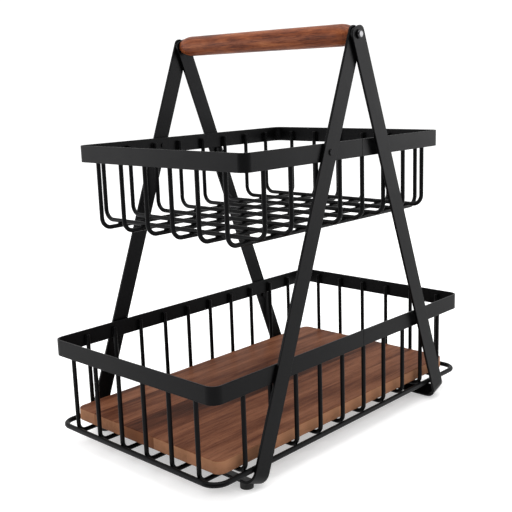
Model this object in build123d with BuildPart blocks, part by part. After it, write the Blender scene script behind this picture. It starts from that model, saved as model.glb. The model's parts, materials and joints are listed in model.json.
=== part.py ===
# A two-tier wire basket: two bent flat-bar leg frames that cross at a wooden carry grip, an upper basket
# pinned to one frame, a lower basket that lifts off its ledges, and a loose board in the lower basket.
# X runs along the baskets, Y along the grip, Z up. The origin is on the table, under the middle of the grip.
# Millimetres.

import os
from math import cos, radians, sin, sqrt, tan

from build123d import *

os.makedirs("parts", exist_ok=True)

# Baskets
basket_width = 222
lower_length = 378
upper_length = 289
lower_rim_top = 106
upper_rim_top = 288
rim_height = 16
rim_thickness = 2
lower_rim_corner = 10
upper_rim_corner = 8
rim_edge_round = 0.5
seam_place = 12
seam_width = 0.6
seam_depth = 0.5

# Basket wires
wire_diameter = 4.2
weld_gap = 0.1
lower_wire_bend = 8
upper_wire_bend = 10
wire_end_below_rim_top = 4.5
wire_end_round = 0.6
lower_floor_height = 20.2
upper_floor_below_rim_top = 74.5
lower_end_margin = 37.4
upper_end_share = 0.0907
side_margin = 26
lower_cross_count = 10
upper_cross_count = 8
long_count = 6

# Base ring of thicker wire, in the crook of the lower basket's bends
ring_diameter = 5
ring_corner = 14
ring_leg_gap = 0.4

# Wooden board, held clear of the upright wires
board_end_gap = 7
board_side_gap = 4.7
board_thickness = 12
board_corner = 8
board_edge_round = 0.8
board_gap = 0.3

# Leg frames
leg_width = 18
leg_thickness = 2.5
leg_lean = 20.7
leg_bend = 12
leg_edge_round = 0.4
leg_top_above_pivot = 7
leg_top_corner = 6
leg_rim_gap = 0.3
grip_height = 380.5
leg_underside_height = 4.2

# Rubber pads under the leg frames
pad_diameter = 12
pad_inset = 15.5

# Grip and its screws
grip_diameter = 20
grip_end_diameter = 13
grip_end_length = 14
grip_leg_gap = 0.3
screw_diameter = 5
screw_head_diameter = 7.2
screw_head_height = 1.8
screw_head_round = 1.2
screw_reach = 14
insert_diameter = 8
insert_length = 16
washer_diameter = 12
washer_thickness = 0.6
collar_diameter = 8.4
collar_thickness = 0.8
running_clearance = 0.05
seat_gap = 0.05

# Rivets that pin the upper rim to the left frame
rivet_diameter = 3.2
rivet_head_diameter = 6
rivet_head_height = 1
rivet_head_round = 0.8
rivet_tail_diameter = 5
rivet_tail_height = 1.1
spacer_diameter = 7

# Ledges that carry the rims
ledge_diameter = 5
ledge_rim_gap = 0.3
ledge_wire_gap = 0.3
ledge_end_round = 0.5

# Allowance that every cut runs past what it cuts
overrun = 5

# Places worked out from the sizes above
wire_radius = wire_diameter / 2
upright_y = basket_width / 2 - rim_thickness - weld_gap - wire_radius
lower_upright_x = lower_length / 2 - rim_thickness - weld_gap - wire_radius
upper_upright_x = upper_length / 2 - rim_thickness - weld_gap - wire_radius
layer_step = wire_diameter + weld_gap
upper_floor_height = upper_rim_top - upper_floor_below_rim_top
board_length = 2 * (lower_upright_x - wire_radius - board_end_gap)
board_width = 2 * (upright_y - wire_radius - board_side_gap)
inner_leg_face = basket_width / 2 + leg_rim_gap
outer_leg_face = inner_leg_face + leg_thickness + washer_thickness
leg_run = (grip_height - leg_underside_height) / cos(radians(leg_lean))
leg_slope = tan(radians(leg_lean))


def save(node, name):
    # one file for each piece of the object
    node.label = name
    export_step(node, f"parts/{name}.step")


def rim_band(length, corner, top, rivet_x=None, rivet_z=None):
    # flat bar bent to a rounded rectangle, with its butt seam near the middle of the front side
    with BuildPart() as band:
        with BuildSketch(Plane.XY.offset(top - rim_height)):
            RectangleRounded(length, basket_width, corner)
            RectangleRounded(
                length - 2 * rim_thickness,
                basket_width - 2 * rim_thickness,
                corner - rim_thickness,
                mode=Mode.SUBTRACT,
            )
        extrude(amount=rim_height)
        fillet(band.edges().group_by(Axis.Z)[-1], radius=rim_edge_round)
        fillet(band.edges().group_by(Axis.Z)[0], radius=rim_edge_round)
        with BuildSketch(Plane.XY.offset(top - rim_height - overrun)):
            with Locations((seam_place, -basket_width / 2)):
                Rectangle(seam_width, 2 * seam_depth)
        extrude(amount=rim_height + 2 * overrun, mode=Mode.SUBTRACT)
        if rivet_x is not None:
            with BuildSketch(Plane.XZ):
                with Locations((rivet_x, rivet_z)):
                    Circle(rivet_diameter / 2 + running_clearance)
            extrude(amount=basket_width, both=True, mode=Mode.SUBTRACT)
    return band.part


def bent_wire(plane, half_span, floor_height, top, bend):
    # one U of round wire: up one side of the basket, across its floor, up the other side
    with BuildPart() as wire:
        with BuildLine(plane) as route:
            FilletPolyline(
                (-half_span, top),
                (-half_span, floor_height),
                (half_span, floor_height),
                (half_span, top),
                radius=bend,
            )
        with BuildSketch(Plane(origin=route.line @ 0, z_dir=route.line % 0)):
            Circle(wire_radius)
        sweep()
        fillet(wire.edges().group_by(Axis.Z)[-1], radius=wire_end_round)
    return wire.part


def spread(count, length, margin):
    # evenly pitched places along a rim, the first and last a margin in from its ends
    pitch = (length - 2 * margin) / (count - 1)
    return [margin - length / 2 + number * pitch for number in range(count)]


def basket_wires(name, cross_places, upright_x, floor_height, rim_top, bend):
    # cross wires lie on top of the long wires
    wire_top = rim_top - wire_end_below_rim_top
    for number, place in enumerate(cross_places, start=1):
        cross = bent_wire(Plane.YZ.offset(place), upright_y, floor_height, wire_top, bend)
        save(cross, f"{name}_cross_wire_{number}")
    for number, place in enumerate(spread(long_count, basket_width, side_margin), start=1):
        height = floor_height - layer_step
        along = bent_wire(Plane.XZ.offset(-place), upright_x, height, wire_top, bend)
        save(along, f"{name}_long_wire_{number}")


# Lower basket
save(rim_band(lower_length, lower_rim_corner, lower_rim_top), "lower_rim")
lower_cross_places = spread(lower_cross_count, lower_length, lower_end_margin)
basket_wires(
    "lower", lower_cross_places, lower_upright_x, lower_floor_height, lower_rim_top, lower_wire_bend
)

# Base ring: it touches the outside of both sets of bends
ring_radius = ring_diameter / 2
bend_to_ring = lower_wire_bend + wire_radius + weld_gap + ring_radius
cross_bend_y = upright_y - lower_wire_bend
cross_bend_z = lower_floor_height + lower_wire_bend
long_bend_x = lower_upright_x - lower_wire_bend
long_bend_z = cross_bend_z - layer_step
ring_y = inner_leg_face - ring_leg_gap - ring_radius
ring_z = cross_bend_z - sqrt(bend_to_ring**2 - (ring_y - cross_bend_y) ** 2)
ring_x = long_bend_x + sqrt(bend_to_ring**2 - (long_bend_z - ring_z) ** 2)

with BuildPart() as lower_base_ring:
    with BuildLine(Plane.XY.offset(ring_z)) as ring_route:
        FilletPolyline(
            (ring_x, -ring_y),
            (ring_x, ring_y),
            (-ring_x, ring_y),
            (-ring_x, -ring_y),
            radius=ring_corner,
            close=True,
        )
    with BuildSketch(Plane(origin=ring_route.line @ 0, z_dir=ring_route.line % 0)):
        Circle(ring_radius)
    sweep()
save(lower_base_ring.part, "lower_base_ring")

# Board, loose on the cross wires of the lower basket
board_bottom = lower_floor_height + wire_radius + board_gap
with BuildPart() as base_board:
    with BuildSketch(Plane.XY.offset(board_bottom)):
        RectangleRounded(board_length, board_width, board_corner)
    extrude(amount=board_thickness)
    fillet(base_board.edges().group_by(Axis.Z)[-1], radius=board_edge_round)
    fillet(base_board.edges().group_by(Axis.Z)[0], radius=board_edge_round)
save(base_board.part, "base_board")

# Rivets sit where the left frame's bars cross the middle of the upper rim
rivet_z = upper_rim_top - rim_height / 2
rivet_x = -(grip_height - rivet_z) * leg_slope

# Upper basket
save(rim_band(upper_length, upper_rim_corner, upper_rim_top, rivet_x, rivet_z), "upper_rim")
upper_end_margin = upper_length * upper_end_share
upper_cross_places = spread(upper_cross_count, upper_length, upper_end_margin)
basket_wires(
    "upper", upper_cross_places, upper_upright_x, upper_floor_height, upper_rim_top, upper_wire_bend
)


def leg_frame(side, front_face, back_face):
    # flat bar bent to a U: down the front, under the lower basket, up the back
    # side is -1 where the feet stand to the left, 1 to the right
    across = (cos(radians(leg_lean)), 0, side * sin(radians(leg_lean)))
    frame_plane = Plane(origin=(0, 0, grip_height), x_dir=(0, 1, 0), z_dir=across)
    side_plane = Plane(origin=(0, 0, grip_height), x_dir=across, z_dir=(0, -1, 0))
    with BuildPart() as frame:
        with BuildSketch(frame_plane):
            with BuildLine():
                outer = FilletPolyline(
                    (-front_face - leg_thickness, leg_top_above_pivot),
                    (-front_face - leg_thickness, -leg_run),
                    (back_face + leg_thickness, -leg_run),
                    (back_face + leg_thickness, leg_top_above_pivot),
                    radius=leg_bend,
                )
                inner = FilletPolyline(
                    (-front_face, leg_top_above_pivot),
                    (-front_face, leg_thickness - leg_run),
                    (back_face, leg_thickness - leg_run),
                    (back_face, leg_top_above_pivot),
                    radius=leg_bend - leg_thickness,
                )
                Line(outer @ 0, inner @ 0)
                Line(outer @ 1, inner @ 1)
            make_face()
        extrude(amount=leg_width / 2, both=True)
        # the two ends have both corners rounded, then every long edge is eased
        fillet(frame.edges().filter_by(Axis.Y).sort_by(Axis.Z)[-4:], radius=leg_top_corner)
        fillet(frame.faces().filter_by(Axis(frame_plane.origin, across)).edges(), radius=leg_edge_round)
        with BuildSketch(side_plane):
            Circle(screw_diameter / 2 + running_clearance)
        extrude(amount=basket_width, both=True, mode=Mode.SUBTRACT)
        if side < 0:
            with BuildSketch(Plane.XZ):
                with Locations((rivet_x, rivet_z)):
                    Circle(rivet_diameter / 2 + running_clearance)
            extrude(amount=basket_width, both=True, mode=Mode.SUBTRACT)
    return frame.part


# At the front the left frame's bar is the inner one, at the back the right frame's is
save(leg_frame(-1, inner_leg_face, outer_leg_face), "leg_frame_left")
save(leg_frame(1, outer_leg_face, inner_leg_face), "leg_frame_right")


def foot_pad(side, end, leg_face):
    # round rubber plug under the bottom run, beside the bend, flat on the table
    # end is -1 at the front, 1 at the back
    place_x = side * (grip_height - leg_underside_height) * leg_slope
    place_y = end * (leg_face + leg_thickness - pad_inset)
    across = (cos(radians(leg_lean)), 0, side * sin(radians(leg_lean)))
    underside = Plane(
        origin=(place_x, 0, leg_underside_height),
        x_dir=across,
        z_dir=(-side * sin(radians(leg_lean)), 0, cos(radians(leg_lean))),
    )
    with BuildPart() as pad:
        with BuildSketch():
            with Locations((place_x, place_y)):
                Circle(pad_diameter / 2)
        extrude(amount=leg_underside_height + pad_diameter)
        split(bisect_by=underside, keep=Keep.BOTTOM)
    return pad.part


save(foot_pad(-1, -1, inner_leg_face), "front_left_pad")
save(foot_pad(-1, 1, outer_leg_face), "back_left_pad")
save(foot_pad(1, -1, outer_leg_face), "front_right_pad")
save(foot_pad(1, 1, inner_leg_face), "back_right_pad")


def ledge(x_place, z_place, end, leg_face):
    # short stud on the leg's inner face, reaching under the rim and stopping short of the wires
    tip = basket_width / 2 - rim_thickness - weld_gap + ledge_wire_gap
    front = Plane(origin=(x_place, end * tip, z_place), z_dir=(0, end, 0))
    with BuildPart() as stud:
        with BuildSketch(front):
            Circle(ledge_diameter / 2)
        extrude(amount=leg_face - tip)
        tip_face = stud.faces().sort_by(Axis.Y)[0 if end > 0 else -1]
        fillet(tip_face.edges(), radius=ledge_end_round)
    return stud.part


lower_ledge_z = lower_rim_top - rim_height - ledge_rim_gap - ledge_diameter / 2
upper_ledge_z = upper_rim_top - rim_height - ledge_rim_gap - ledge_diameter / 2
lower_ledge_x = (grip_height - lower_ledge_z) * leg_slope
upper_ledge_x = (grip_height - upper_ledge_z) * leg_slope
save(ledge(-lower_ledge_x, lower_ledge_z, -1, inner_leg_face), "front_left_lower_ledge")
save(ledge(-lower_ledge_x, lower_ledge_z, 1, outer_leg_face), "back_left_lower_ledge")
save(ledge(lower_ledge_x, lower_ledge_z, -1, outer_leg_face), "front_right_lower_ledge")
save(ledge(lower_ledge_x, lower_ledge_z, 1, inner_leg_face), "back_right_lower_ledge")
save(ledge(upper_ledge_x, upper_ledge_z, -1, outer_leg_face), "front_right_upper_ledge")
save(ledge(upper_ledge_x, upper_ledge_z, 1, inner_leg_face), "back_right_upper_ledge")


def rim_rivet(end, leg_face):
    # domed head outside the leg, flat tail inside the rim, turned about Y at the rivet's place
    head_face = leg_face + leg_thickness + seat_gap
    tail_face = basket_width / 2 - rim_thickness - seat_gap
    axis_plane = Plane(origin=(rivet_x, 0, rivet_z), x_dir=(1, 0, 0), z_dir=(0, 0, 1))
    with BuildPart() as rivet:
        with BuildSketch(axis_plane):
            with BuildLine():
                Polyline(
                    (0, end * (tail_face - rivet_tail_height)),
                    (rivet_tail_diameter / 2, end * (tail_face - rivet_tail_height)),
                    (rivet_tail_diameter / 2, end * tail_face),
                    (rivet_diameter / 2, end * tail_face),
                    (rivet_diameter / 2, end * head_face),
                    (rivet_head_diameter / 2, end * head_face),
                    (rivet_head_diameter / 2, end * (head_face + rivet_head_height)),
                    (0, end * (head_face + rivet_head_height)),
                    close=True,
                )
            make_face()
        revolve(axis=Axis((rivet_x, 0, rivet_z), (0, 1, 0)))
        head_end = rivet.faces().sort_by(Axis.Y)[-1 if end > 0 else 0]
        fillet(head_end.edges(), radius=rivet_head_round)
    return rivet.part


save(rim_rivet(-1, inner_leg_face), "front_rim_rivet")
save(rim_rivet(1, outer_leg_face), "back_rim_rivet")

# Spacer on the back rivet, between the rim and the outer leg bar
with BuildPart() as rivet_spacer:
    with BuildSketch(Plane(origin=(rivet_x, inner_leg_face, rivet_z), z_dir=(0, 1, 0))):
        Circle(spacer_diameter / 2)
        Circle(rivet_diameter / 2 + running_clearance, mode=Mode.SUBTRACT)
    extrude(amount=outer_leg_face - inner_leg_face)
save(rivet_spacer.part, "rivet_spacer")

# Grip, turned to a soft taper at each end
grip_half = inner_leg_face - grip_leg_gap
grip_taper_start = grip_half - grip_end_length
with BuildPart() as handle_grip:
    with BuildSketch(Plane(origin=(0, 0, grip_height), x_dir=(1, 0, 0), z_dir=(0, 0, 1))):
        with BuildLine():
            Line((0, -grip_half), (grip_end_diameter / 2, -grip_half))
            TangentArc(
                (grip_diameter / 2, -grip_taper_start),
                (grip_end_diameter / 2, -grip_half),
                tangent=(0, -1),
            )
            Line((grip_diameter / 2, -grip_taper_start), (grip_diameter / 2, grip_taper_start))
            TangentArc(
                (grip_diameter / 2, grip_taper_start),
                (grip_end_diameter / 2, grip_half),
                tangent=(0, 1),
            )
            Line((grip_end_diameter / 2, grip_half), (0, grip_half))
            Line((0, grip_half), (0, -grip_half))
        make_face()
    revolve(axis=Axis((0, 0, grip_height), (0, 1, 0)))
    for end in (-1, 1):
        with BuildSketch(Plane(origin=(0, end * grip_half, grip_height), z_dir=(0, -end, 0))):
            Circle(insert_diameter / 2)
        extrude(amount=insert_length, mode=Mode.SUBTRACT)
save(handle_grip.part, "handle_grip")

# Threaded inserts in the grip's ends
with BuildPart() as handle_inserts:
    for end in (-1, 1):
        with BuildSketch(Plane(origin=(0, end * grip_half, grip_height), z_dir=(0, -end, 0))):
            Circle(insert_diameter / 2 - seat_gap)
            Circle(screw_diameter / 2 + running_clearance, mode=Mode.SUBTRACT)
        extrude(amount=insert_length - seat_gap)
save(handle_inserts.part, "handle_inserts")

# Thin washers between the two leg bars
with BuildPart() as handle_washers:
    for end in (-1, 1):
        washer_face = inner_leg_face + leg_thickness + seat_gap
        with BuildSketch(Plane(origin=(0, end * washer_face, grip_height), z_dir=(0, end, 0))):
            Circle(washer_diameter / 2)
            Circle(screw_diameter / 2 + running_clearance, mode=Mode.SUBTRACT)
        extrude(amount=washer_thickness - 2 * seat_gap)
save(handle_washers.part, "handle_washers")

# Black collars under the screw heads
collar_face = outer_leg_face + leg_thickness + seat_gap
with BuildPart() as handle_collars:
    for end in (-1, 1):
        with BuildSketch(Plane(origin=(0, end * collar_face, grip_height), z_dir=(0, end, 0))):
            Circle(collar_diameter / 2)
            Circle(screw_diameter / 2 + running_clearance, mode=Mode.SUBTRACT)
        extrude(amount=collar_thickness)
save(handle_collars.part, "handle_collars")

# Bright dome-headed screws through the collars, both leg bars and into the inserts
head_seat = collar_face + collar_thickness + seat_gap
with BuildPart() as handle_screws:
    for end in (-1, 1):
        with BuildSketch(Plane(origin=(0, end * head_seat, grip_height), z_dir=(0, end, 0))):
            Circle(screw_head_diameter / 2)
        extrude(amount=screw_head_height)
        with BuildSketch(Plane(origin=(0, end * head_seat, grip_height), z_dir=(0, -end, 0))):
            Circle(screw_diameter / 2)
        extrude(amount=head_seat - grip_half + screw_reach)
    fillet(handle_screws.faces().sort_by(Axis.Y)[0].edges(), radius=screw_head_round)
    fillet(handle_screws.faces().sort_by(Axis.Y)[-1].edges(), radius=screw_head_round)
save(handle_screws.part, "handle_screws")
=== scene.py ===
import json
import math
import random

import bmesh
import bpy
from mathutils import Matrix, Vector


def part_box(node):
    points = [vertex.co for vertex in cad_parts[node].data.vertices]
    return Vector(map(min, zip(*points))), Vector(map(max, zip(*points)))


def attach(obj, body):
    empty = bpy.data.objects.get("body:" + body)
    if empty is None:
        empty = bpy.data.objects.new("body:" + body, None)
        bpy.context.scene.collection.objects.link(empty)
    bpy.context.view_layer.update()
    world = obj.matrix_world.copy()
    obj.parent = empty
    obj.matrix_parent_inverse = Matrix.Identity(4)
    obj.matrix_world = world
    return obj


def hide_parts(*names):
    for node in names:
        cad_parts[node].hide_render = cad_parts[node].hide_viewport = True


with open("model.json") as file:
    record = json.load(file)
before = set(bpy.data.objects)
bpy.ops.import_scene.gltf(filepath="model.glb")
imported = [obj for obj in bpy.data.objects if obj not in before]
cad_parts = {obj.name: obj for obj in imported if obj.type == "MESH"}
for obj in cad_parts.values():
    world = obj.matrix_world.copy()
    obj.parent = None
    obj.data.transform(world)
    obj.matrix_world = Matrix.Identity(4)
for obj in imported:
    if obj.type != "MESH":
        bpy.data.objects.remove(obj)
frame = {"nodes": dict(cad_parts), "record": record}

random.seed(11)  # the welds come out the same in each run
nodes = frame["nodes"]
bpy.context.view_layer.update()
mm = 0.001
print("frame loaded:", len(nodes), "pieces")


# Camera: where the photograph was taken from, in metres and degrees
cameraSettings = {
    "place": (-0.6277, -0.5778, 0.3445),
    "heading": 46.57,  # turned right from looking along the grip
    "dip": 11.69,
    "tilt": -1.91,
    "lens": 60.01,
    "far": 20.0,
}


def placeCamera(settings):
    heading, dip, tilt = (math.radians(settings[key]) for key in ("heading", "dip", "tilt"))
    ahead = Vector((math.sin(heading) * math.cos(dip), math.cos(heading) * math.cos(dip), -math.sin(dip)))
    level = Vector((math.cos(heading), -math.sin(heading), 0))
    upright = level.cross(ahead)
    right = math.cos(tilt) * level + math.sin(tilt) * upright
    top = -math.sin(tilt) * level + math.cos(tilt) * upright
    camera = bpy.data.objects.new("camera", bpy.data.cameras.new("camera"))
    camera.data.lens = settings["lens"]
    camera.data.clip_end = settings["far"]
    turn = Matrix((right, top, -ahead)).transposed()
    camera.matrix_world = Matrix.Translation(settings["place"]) @ turn.to_4x4()
    bpy.context.scene.collection.objects.link(camera)
    bpy.context.scene.camera = camera


placeCamera(cameraSettings)
print("camera placed")


# Shader maths
class Signal:  # a socket that goes into sums like a number
    def __init__(self, tree, socket=None):
        self.tree = tree
        self.socket = socket

    def feed(self, socket, value):
        if isinstance(value, Signal):
            self.tree.links.new(value.socket, socket)
        else:
            socket.default_value = value

    def node(self, kind, settings, inputs, output=0):
        made = self.tree.nodes.new(kind)
        for name, value in settings.items():
            if name == "stops":
                setStops(made.color_ramp, value)
            else:
                setattr(made, name, value)
        for name, value in inputs.items():
            self.feed(made.inputs[name], value)
        return Signal(self.tree, made.outputs[output])

    def sum(self, operation, first, second=0.0):
        return self.node("ShaderNodeMath", {"operation": operation}, {0: first, 1: second})

    def __add__(self, other):
        return self.sum("ADD", self, other)

    def __radd__(self, other):
        return self.sum("ADD", other, self)

    def __sub__(self, other):
        return self.sum("SUBTRACT", self, other)

    def __rsub__(self, other):
        return self.sum("SUBTRACT", other, self)

    def __mul__(self, other):
        return self.sum("MULTIPLY", self, other)

    def __rmul__(self, other):
        return self.sum("MULTIPLY", other, self)

    def fade(self, low, high, bottom=0.0, top=1.0):
        ends = {"Value": self, "From Min": low, "From Max": high, "To Min": bottom, "To Max": top}
        return self.node("ShaderNodeMapRange", {"interpolation_type": "SMOOTHSTEP"}, ends, "Result")

    def tint(self, first, second):  # first colour where this is 0, second where it is 1
        colours = {0: self, 6: first, 7: second}
        return self.node("ShaderNodeMix", {"data_type": "RGBA"}, colours, 2)


def setStops(ramp, stops):
    while len(ramp.elements) < len(stops):
        ramp.elements.new(1.0)
    for element, (place, colour) in zip(ramp.elements, stops):
        element.position = place
        element.color = colour


def rgb(red, green, blue):
    return (red, green, blue, 1.0)


def startFinish(name):
    # a new material with its shader, a bench to make nodes on, and places on the piece
    material = bpy.data.materials.new(name)
    material.use_nodes = True
    tree = material.node_tree
    tree.nodes.clear()
    bench = Signal(tree)
    output = tree.nodes.new("ShaderNodeOutputMaterial")
    shader = tree.nodes.new("ShaderNodeBsdfPrincipled")
    tree.links.new(shader.outputs[0], output.inputs["Surface"])
    place = bench.node("ShaderNodeTexCoord", {}, {}, "Object")
    return material, bench, shader, place


def noise(bench, place, scale, detail=2.0, roughness=0.5, warp=0.0):
    inputs = {"Vector": place, "Scale": scale, "Detail": detail, "Roughness": roughness, "Distortion": warp}
    return bench.node("ShaderNodeTexNoise", {"noise_dimensions": "3D"}, inputs, "Fac")


def grain(bench, place, scales, detail=1.0, roughness=0.5, warp=0.0):
    # noise with a scale of its own along x, y and z
    drawn = bench.node("ShaderNodeVectorMath", {"operation": "MULTIPLY"}, {0: place, 1: scales}, "Vector")
    return noise(bench, drawn, 1.0, detail, roughness, warp)


def along(bench, place, axis):
    return bench.node("ShaderNodeSeparateXYZ", {}, {"Vector": place}, axis)


def edgeMask(bench, radius, low, high):
    # 1 on the sharp edges, 0 on the flats
    rounded = bench.node("ShaderNodeBevel", {"samples": 4}, {"Radius": radius})
    flat = bench.node("ShaderNodeNewGeometry", {}, {}, "Normal")
    match = bench.node("ShaderNodeVectorMath", {"operation": "DOT_PRODUCT"}, {0: rounded, 1: flat}, "Value")
    return (1 - match).fade(low, high)


def bump(bench, height, strength, distance):
    inputs = {"Height": height, "Strength": strength, "Distance": distance}
    return bench.node("ShaderNodeBump", {}, inputs, "Normal")


# Powder coat on the bars and wires
powderCoat = {
    "deep": rgb(0.0006, 0.0006, 0.0007),
    "lit": rgb(0.0018, 0.0018, 0.0019),
    "rubbed": rgb(0.013, 0.0132, 0.0136),
    "rough": 0.26,
    "shine": 0.082,
    "cast": rgb(0.96, 0.96, 1.0),  # tint of the shine
    "peel": 1500.0,  # orange peel, bumps to the metre
    "peelHeight": 0.05 * mm,
    "peelStrength": 0.35,
    "cloud": 28.0,
    "specks": 3450.0,
    "chips": 252.0,
    "edge": 0.8 * mm,  # width of the rubbed edges
    "edgeEnds": (0.03, 0.32),
    "leastWear": 0.25,  # share of the rub where nothing is chipped
}


def makePowderCoat(name, look):
    material, bench, shader, place = startFinish(name)
    peel = noise(bench, place, look["peel"], 3.0, 0.6)
    cloud = noise(bench, place, look["cloud"], 4.0, 0.55)
    speck = noise(bench, place, look["specks"], 1.0).fade(0.68, 0.78)
    chips = noise(bench, place, look["chips"], 3.0).fade(0.42, 0.66)
    wear = look["leastWear"] + (1 - look["leastWear"]) * chips
    edge = edgeMask(bench, look["edge"], *look["edgeEnds"]) * wear
    body = (0.7 * cloud + 0.3 * peel).fade(0.3, 0.72).tint(look["deep"], look["lit"])
    bench.feed(shader.inputs["Base Color"], (edge * 0.8 + speck * 0.12).tint(body, look["rubbed"]))
    bench.feed(shader.inputs["Roughness"], look["rough"] + 0.16 * cloud + 0.1 * peel - 0.1 * edge)
    relief = peel + 0.4 * cloud
    bench.feed(shader.inputs["Normal"], bump(bench, relief, look["peelStrength"], look["peelHeight"]))
    shader.inputs["Specular IOR Level"].default_value = look["shine"]
    shader.inputs["Specular Tint"].default_value = look["cast"]
    return material


# What the two woods share
def woodLayers(bench, place, look):
    slow = grain(bench, place, look["figure"], 4.0, 0.55)
    streak = grain(bench, place, look["streaks"], 7.0, look["streakRough"], look["streakWarp"])
    fibre = grain(bench, place, look["fibres"], 3.0, 0.6)
    pores = grain(bench, place, look["pores"]).fade(*look["poreEnds"])
    return slow, streak, fibre, pores


def woodColour(bench, tone, pores, look):
    wood = bench.node("ShaderNodeValToRGB", {"stops": look["tones"]}, {"Fac": tone}, "Color")
    return (pores * look["poreDepth"]).tint(wood, look["poreColour"])


# Board: oiled reddish hardwood, glued from staves that run along the basket
boardWood = {
    "stave": 44 * mm,
    "seamShift": 0.37,  # share of a stave
    "deal": 4.0,  # another number deals the staves out anew
    "staveShift": (3.0, 0.7, 1.3),  # metres through the tree, from stave to stave
    "tones": [
        (0.41, rgb(0.021, 0.0068, 0.0035)),
        (0.5, rgb(0.062, 0.02, 0.0098)),
        (0.58, rgb(0.12, 0.044, 0.022)),
        (0.69, rgb(0.19, 0.08, 0.043)),
    ],
    # side colours: partly the paler wood of the cut sides, partly painted light on them
    "sidePaleCutAndLit": rgb(0.31, 0.15, 0.082),
    "sideDarkCutAndLit": rgb(0.14, 0.056, 0.028),
    "figure": (6, 34, 34),  # scales along, across and up
    "streaks": (9, 150, 150),
    "streakRough": 0.66,
    "streakWarp": 0.4,
    "fibres": (70, 1500, 1500),
    "pores": (110, 2400, 2400),
    "poreEnds": (0.62, 0.72),
    "poreDepth": 0.5,
    "poreColour": rgb(0.012, 0.0045, 0.003),
    "rough": 0.32,
    "shine": 0.02,
    "grainHeight": 0.1 * mm,
    "grainStrength": 0.25,
}


def makeBoardWood(name, look):
    material, bench, shader, place = startFinish(name)
    across = along(bench, place, "Y")
    stave = bench.sum("FLOOR", across * (1 / look["stave"]) + look["seamShift"])
    settings = {"noise_dimensions": "1D"}
    lot = bench.node("ShaderNodeTexWhiteNoise", settings, {"W": stave + look["deal"]}, "Value")
    # each stave takes its grain from another part of the tree
    shift = {axis: lot * reach for axis, reach in zip("XYZ", look["staveShift"])}
    shifted = bench.node("ShaderNodeCombineXYZ", {}, shift, "Vector")
    moved = bench.node("ShaderNodeVectorMath", {"operation": "ADD"}, {0: place, 1: shifted}, "Vector")
    slow, streak, fibre, pores = woodLayers(bench, moved, look)
    top = woodColour(bench, 0.42 * streak + 0.4 * slow + 0.14 * fibre + 0.1 * lot, pores, look)
    # the sides are paler than the top, by which way each face points: partly the paler wood of the cut
    # sides, partly painted light on the sides; a block for each stave
    normal = bench.node("ShaderNodeNewGeometry", {}, {}, "Normal")
    rise = bench.sum("ABSOLUTE", along(bench, normal, "Z"))
    edgeTone = (0.4 * streak + 0.2 * fibre + 0.45 * lot).fade(0.3, 0.8)
    sidesCutAndLit = edgeTone.tint(look["sideDarkCutAndLit"], look["sidePaleCutAndLit"])
    bench.feed(shader.inputs["Base Color"], rise.fade(0.25, 0.85).tint(sidesCutAndLit, top))
    bench.feed(shader.inputs["Roughness"], look["rough"] + 0.14 * fibre + 0.12 * pores + 0.08 * streak)
    relief = 0.6 * fibre + 0.2 * streak - 0.7 * pores
    bench.feed(shader.inputs["Normal"], bump(bench, relief, look["grainStrength"], look["grainHeight"]))
    shader.inputs["Specular IOR Level"].default_value = look["shine"]
    return material


# Grip: lacquered reddish wood, mottled, grain along its length
gripWood = {
    "tones": [
        (0.4, rgb(0.035, 0.0068, 0.0022)),
        (0.47, rgb(0.11, 0.0252, 0.0076)),
        (0.55, rgb(0.202, 0.055, 0.0178)),
        (0.64, rgb(0.315, 0.114, 0.043)),
    ],
    "figure": (110, 20, 110),  # scales across, along and up
    "streaks": (420, 34, 420),
    "streakRough": 0.7,
    "streakWarp": 0.5,
    "fibres": (1700, 80, 1700),
    "pores": (2600, 120, 2600),
    "poreEnds": (0.63, 0.72),
    "poreDepth": 0.5,
    "poreColour": rgb(0.024, 0.007, 0.0035),
    "rough": 0.36,
    "shine": 0.13,
    "grainHeight": 0.06 * mm,
    "grainStrength": 0.22,
}


def makeGripWood(name, look):
    material, bench, shader, place = startFinish(name)
    slow, streak, fibre, pores = woodLayers(bench, place, look)
    tone = 0.44 * streak + 0.36 * slow + 0.2 * fibre
    bench.feed(shader.inputs["Base Color"], woodColour(bench, tone, pores, look))
    bench.feed(shader.inputs["Roughness"], look["rough"] + 0.12 * fibre + 0.1 * pores)
    relief = 0.6 * fibre - 0.6 * pores
    bench.feed(shader.inputs["Normal"], bump(bench, relief, look["grainStrength"], look["grainHeight"]))
    shader.inputs["Specular IOR Level"].default_value = look["shine"]
    return material


# Bright screw heads and inserts, turned on a lathe
brightSteel = {
    "steel": rgb(0.23, 0.23, 0.236),
    "smudge": rgb(0.16, 0.16, 0.165),
    "smudges": 420.0,
    # painted reflection: the screw heads are painted darker towards their rim, as if the dome's edge
    # reflected the dim room
    "paintedDarkRim": rgb(0.05, 0.05, 0.052),
    "darkRimStart": 1.9 * mm,
    "darkRimFull": 2.9 * mm,
    "turning": 5200.0,
    "rough": 0.24,
    "markHeight": 0.012 * mm,
    "markStrength": 0.2,
}


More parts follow.
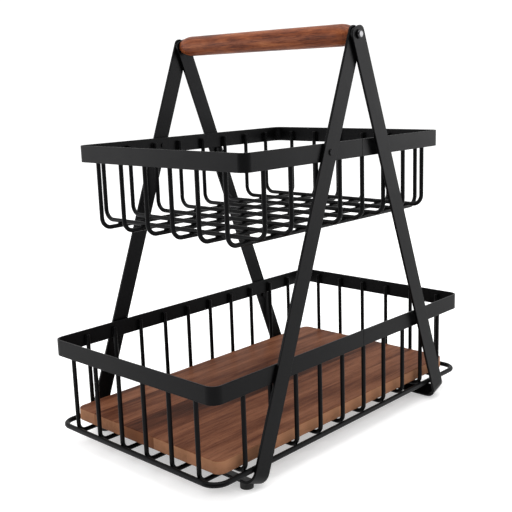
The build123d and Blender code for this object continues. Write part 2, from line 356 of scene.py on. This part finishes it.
def makeBrightSteel(name, look, axisHeight):
    material, bench, shader, place = startFinish(name)
    across = along(bench, place, "X")
    height = along(bench, place, "Z") - axisHeight
    radius = bench.sum("SQRT", across * across + height * height)
    marks = 0.5 + 0.5 * bench.sum("SINE", radius * look["turning"])
    cloud = noise(bench, place, look["smudges"], 4.0, 0.6)
    smudgedSteel = cloud.fade(0.35, 0.75).tint(look["steel"], look["smudge"])
    # painted reflection: darker base colour towards the rim of the heads
    paintedDarkRim = radius.fade(look["darkRimStart"], look["darkRimFull"])
    bench.feed(shader.inputs["Base Color"], paintedDarkRim.tint(smudgedSteel, look["paintedDarkRim"]))
    bench.feed(shader.inputs["Roughness"], look["rough"] + 0.16 * cloud + 0.06 * marks)
    relief = marks + cloud
    bench.feed(shader.inputs["Normal"], bump(bench, relief, look["markStrength"], look["markHeight"]))
    shader.inputs["Metallic"].default_value = 1.0
    return material


# Rubber pads
padRubber = {
    "black": rgb(0.009, 0.009, 0.009),
    "dusty": rgb(0.032, 0.031, 0.03),
    "dust": 160.0,
    "dustDepth": 0.6,
    "grain": 2100.0,
    "grainHeight": 0.08 * mm,
    "grainStrength": 0.4,
    "rough": 0.78,
}


def makePadRubber(name, look):
    material, bench, shader, place = startFinish(name)
    relief = noise(bench, place, look["grain"], 3.0, 0.6)
    dust = noise(bench, place, look["dust"], 4.0, 0.6).fade(0.4, 0.7)
    bench.feed(shader.inputs["Base Color"], (dust * look["dustDepth"]).tint(look["black"], look["dusty"]))
    bench.feed(shader.inputs["Roughness"], look["rough"] + 0.15 * dust)
    bench.feed(shader.inputs["Normal"], bump(bench, relief, look["grainStrength"], look["grainHeight"]))
    return material


# A finish for each slot of the frame
gripLow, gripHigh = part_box("handle_grip")
gripAxis = (gripLow.z + gripHigh.z) / 2
finishes = {
    "black_steel": makePowderCoat("blackPowderCoat", powderCoat),
    "board_wood": makeBoardWood("boardWood", boardWood),
    "grip_wood": makeGripWood("gripWood", gripWood),
    "bright_steel": makeBrightSteel("brightSteel", brightSteel, gripAxis),
    "black_rubber": makePadRubber("padRubber", padRubber),
}
print("finishes made:", len(finishes))

for row in frame["record"]["subparts"]:
    piece = nodes[row["node"]]
    piece.data.materials.clear()
    piece.data.materials.append(finishes[row["material_slot"]])
print("pieces dressed")


# Mesh making
def finishMesh(name, shape, body, slotName):
    bmesh.ops.recalc_face_normals(shape, faces=shape.faces)
    mesh = bpy.data.meshes.new(name)
    shape.to_mesh(mesh)
    shape.free()
    for face in mesh.polygons:
        face.use_smooth = True
    mesh.materials.append(finishes[slotName])
    piece = bpy.data.objects.new(name, mesh)
    bpy.context.scene.collection.objects.link(piece)
    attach(piece, body)
    return piece


def joinRings(shape, rings):
    # walls from each ring to the next, and a cap on both ends
    for first, second in zip(rings, rings[1:]):
        for index in range(len(first)):
            after = (index + 1) % len(first)
            shape.faces.new((first[index], first[after], second[after], second[index]))
    shape.faces.new(list(reversed(rings[0])))
    shape.faces.new(rings[-1])


# Welds of the two baskets
weldSettings = {
    "floorBead": (1.5 * mm, 1.5 * mm, 0.9 * mm),  # half sizes
    "floorBeadOut": 0.75,  # from the wire's middle, as a share of its radius
    "floorBeadStray": 0.2 * mm,
    "rimBeadWide": 0.9 * mm,
    "rimBeadDeep": 0.72 * mm,
    "rimBeadTall": 4.2 * mm,
    "rimBeadOut": 0.8,
    "around": 10,
    "levels": 7,
    "uneven": 0.12,
}


def addBead(shape, centre, size, look):
    # a small lump of weld
    around = look["around"]
    rings = []
    for level in range(1, look["levels"]):
        rise = math.pi * level / look["levels"]
        z = centre[2] + size[2] * math.cos(rise)
        ring = []
        for turn in range(around):
            angle = 2 * math.pi * turn / around
            swell = 1 + random.uniform(-look["uneven"], look["uneven"])
            x = centre[0] + swell * size[0] * math.sin(rise) * math.cos(angle)
            y = centre[1] + swell * size[1] * math.sin(rise) * math.sin(angle)
            ring.append(shape.verts.new((x, y, z)))
        rings.append(ring)
    top = shape.verts.new((centre[0], centre[1], centre[2] + size[2]))
    bottom = shape.verts.new((centre[0], centre[1], centre[2] - size[2]))
    for turn in range(around):
        after = (turn + 1) % around
        shape.faces.new((top, rings[0][turn], rings[0][after]))
        shape.faces.new((bottom, rings[-1][after], rings[-1][turn]))
        for upper, lower in zip(rings, rings[1:]):
            shape.faces.new((upper[turn], lower[turn], lower[after], upper[after]))


def middles(family, axis):
    # where the wires of one family stand, in the order of their numbers
    count = sum(name.startswith(family) for name in nodes)
    boxes = [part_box(f"{family}_{number}") for number in range(1, count + 1)]
    return [(low[axis] + high[axis]) / 2 for low, high in boxes]


def weldBasket(name, look):
    crossPlaces = middles(f"{name}_cross_wire", 0)
    longPlaces = middles(f"{name}_long_wire", 1)
    crossLow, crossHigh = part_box(f"{name}_cross_wire_1")
    longLow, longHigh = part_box(f"{name}_long_wire_1")
    rimLow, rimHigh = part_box(f"{name}_rim")
    wireRadius = (crossHigh.x - crossLow.x) / 2
    shape = bmesh.new()
    # where the wires cross on the floor
    out = look["floorBeadOut"] * wireRadius
    for x in crossPlaces:
        for y in longPlaces:
            for side in (-1, 1):
                stray = random.uniform(-1, 1) * look["floorBeadStray"]
                addBead(shape, (x + side * out, y + stray, crossLow.z), look["floorBead"], look)
    # where the wires meet the inside of the rim
    out = look["rimBeadOut"] * wireRadius
    height = (rimLow.z + crossHigh.z) / 2
    wide, deep, tall = look["rimBeadWide"], look["rimBeadDeep"], look["rimBeadTall"]
    for x in crossPlaces:
        for y in (crossLow.y, crossHigh.y):
            for side in (-1, 1):
                addBead(shape, (x + side * out, y, height), (wide, deep, tall), look)
    for y in longPlaces:
        for x in (longLow.x, longHigh.x):
            for side in (-1, 1):
                addBead(shape, (x, y + side * out, height), (deep, wide, tall), look)
    finishMesh(f"{name}_welds", shape, f"{name}_basket", "black_steel")


weldBasket("lower", weldSettings)
weldBasket("upper", weldSettings)
print("welds made")


# Board: a slab with softened edges, in place of the plain one
boardSettings = {
    "corner": 8 * mm,
    "edge": 0.9 * mm,
    "cornerSteps": 14,
    "edgeSteps": 5,
}


def roundedOutline(halfX, halfY, corner, steps):
    points = []
    centres = ((1, 1, 0), (-1, 1, 90), (-1, -1, 180), (1, -1, 270))
    for signX, signY, start in centres:
        for step in range(steps + 1):
            angle = math.radians(start + 90 * step / steps)
            x = signX * (halfX - corner) + corner * math.cos(angle)
            y = signY * (halfY - corner) + corner * math.sin(angle)
            points.append((x, y))
    return points


def makeBoard(look):
    low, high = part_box("base_board")
    halfX = (high.x - low.x) / 2
    halfY = (high.y - low.y) / 2
    edge = look["edge"]
    steps = look["edgeSteps"]
    angles = [math.radians(90 * step / steps) for step in range(steps + 1)]
    levels = [(edge * (1 - math.sin(angle)), low.z + edge * (1 - math.cos(angle))) for angle in angles]
    levels += [(inset, low.z + high.z - z) for inset, z in reversed(levels)]
    shape = bmesh.new()
    rings = []
    for inset, z in levels:
        outline = roundedOutline(halfX - inset, halfY - inset, look["corner"] - inset, look["cornerSteps"])
        rings.append([shape.verts.new((x, y, z)) for x, y in outline])
    joinRings(shape, rings)
    board = finishMesh("wooden_board", shape, "board", "board_wood")
    for cap in board.data.polygons[-2:]:
        cap.use_smooth = False
    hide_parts("base_board")


makeBoard(boardSettings)
print("board made")


# Grip: turned on a lathe, a little uneven from hand sanding, in place of the plain one
gripSettings = {
    "endDiameter": 13 * mm,
    "endLength": 14 * mm,
    "around": 96,
    "slices": 60,
    "uneven": 0.04 * mm,
    "wave": 130.0,  # waves along the grip, in radians to the metre
    "ripple": 310.0,
    "rippleShare": 0.6,
    "rippleStart": 1.3,
    "flats": 3,  # sanded flats around it
    "twist": 40.0,
}


def gripRadius(distance, half, full, look):
    # full width along the middle, easing down over the last stretch
    fromEnd = half - abs(distance)
    if fromEnd >= look["endLength"]:
        return full
    drop = full - look["endDiameter"] / 2
    share = 1 - fromEnd / look["endLength"]
    return full - drop * share * share


def makeGrip(look):
    half = (gripHigh.y - gripLow.y) / 2
    full = (gripHigh.z - gripLow.z) / 2
    uneven = look["uneven"]
    shape = bmesh.new()
    rings = []
    for step in range(look["slices"] + 1):
        y = -half * math.cos(math.pi * (step / look["slices"]))  # slices crowd towards the ends
        ripple = look["rippleShare"] * math.sin(y * look["ripple"] + look["rippleStart"])
        wobble = uneven * abs(math.sin(y * look["wave"]) + ripple)
        radius = gripRadius(y, half, full, look) - wobble
        ring = []
        for turn in range(look["around"]):
            angle = 2 * math.pi * turn / look["around"]
            reach = radius - uneven * (1 + math.sin(look["flats"] * angle + y * look["twist"]))
            ring.append(shape.verts.new((reach * math.cos(angle), y, gripAxis + reach * math.sin(angle))))
        rings.append(ring)
    joinRings(shape, rings)
    grip = finishMesh("wooden_grip", shape, "grip", "grip_wood")
    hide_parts("handle_grip")


makeGrip(gripSettings)
print("grip made")


# Studio: pale floor lit from below like a product table, pale room that is dimmer behind the camera
studio = {
    "floorSize": 14.0,
    "floorColour": rgb(0.7, 0.7, 0.7),
    "floorGlow": 0.42,
    "floorRough": 0.9,
    "floorShine": 0.1,
    "floorCloud": 3.0,
    "floorLeast": 0.985,  # share of the colour in the darkest clouds
    "roomColour": rgb(1.0, 1.0, 1.0),
    "roomAhead": 1.12,
    "roomBehind": 0.12,
    "roomEnds": (-0.75, 0.1),
    "roomLift": 0.5,  # how much the room brightens upwards
    "ahead": (0.72, 0.69, 0.0),
    "lamps": (
        # name, place, aims at, width, power
        ("overhead", (-0.2, -0.2, 2.2), (0, 0, 0.2), 2.2, 44.0),
        ("left", (-1.5, 1.6, 0.45), (0, 0, 0.25), 1.2, 14.0),
        ("right", (1.75, -1.35, 0.45), (0, 0, 0.25), 1.2, 14.0),
    ),
}


def makeRoom(look):
    world = bpy.data.worlds.new("studio")
    world.use_nodes = True
    sky = world.node_tree.nodes["Background"]
    room = Signal(world.node_tree)
    direction = room.node("ShaderNodeTexCoord", {}, {}, "Generated")
    ends = {0: direction, 1: look["ahead"]}
    facing = room.node("ShaderNodeVectorMath", {"operation": "DOT_PRODUCT"}, ends, "Value")
    lift = look["roomLift"] * along(room, direction, "Z")
    strength = (facing + lift).fade(*look["roomEnds"], look["roomBehind"], look["roomAhead"])
    sky.inputs["Color"].default_value = look["roomColour"]
    room.feed(sky.inputs["Strength"], strength)
    bpy.context.scene.world = world


def makeFloor(look):
    half = look["floorSize"] / 2
    corners = [(-half, -half, 0), (half, -half, 0), (half, half, 0), (-half, half, 0)]
    mesh = bpy.data.meshes.new("floor")
    mesh.from_pydata(corners, [], [(0, 1, 2, 3)])
    floor = bpy.data.objects.new("floor", mesh)
    bpy.context.scene.collection.objects.link(floor)
    material, bench, shader, place = startFinish("paleFloor")
    cloud = noise(bench, place, look["floorCloud"], 2.0).fade(0.2, 0.8, look["floorLeast"], 1.0)
    bench.feed(shader.inputs["Base Color"], cloud.tint(rgb(0.0, 0.0, 0.0), look["floorColour"]))
    shader.inputs["Roughness"].default_value = look["floorRough"]
    shader.inputs["Specular IOR Level"].default_value = look["floorShine"]
    shader.inputs["Emission Color"].default_value = look["roomColour"]
    shader.inputs["Emission Strength"].default_value = look["floorGlow"]
    mesh.materials.append(material)


def hangLamps(look):
    for name, place, aim, width, power in look["lamps"]:
        lamp = bpy.data.lights.new(name, "AREA")
        lamp.size = width
        lamp.energy = power
        holder = bpy.data.objects.new(name, lamp)
        holder.location = place
        holder.rotation_euler = (Vector(aim) - Vector(place)).to_track_quat("-Z", "Y").to_euler()
        bpy.context.scene.collection.objects.link(holder)


makeRoom(studio)
makeFloor(studio)
hangLamps(studio)
bpy.context.scene.view_settings.view_transform = "Standard"
print("studio lit")
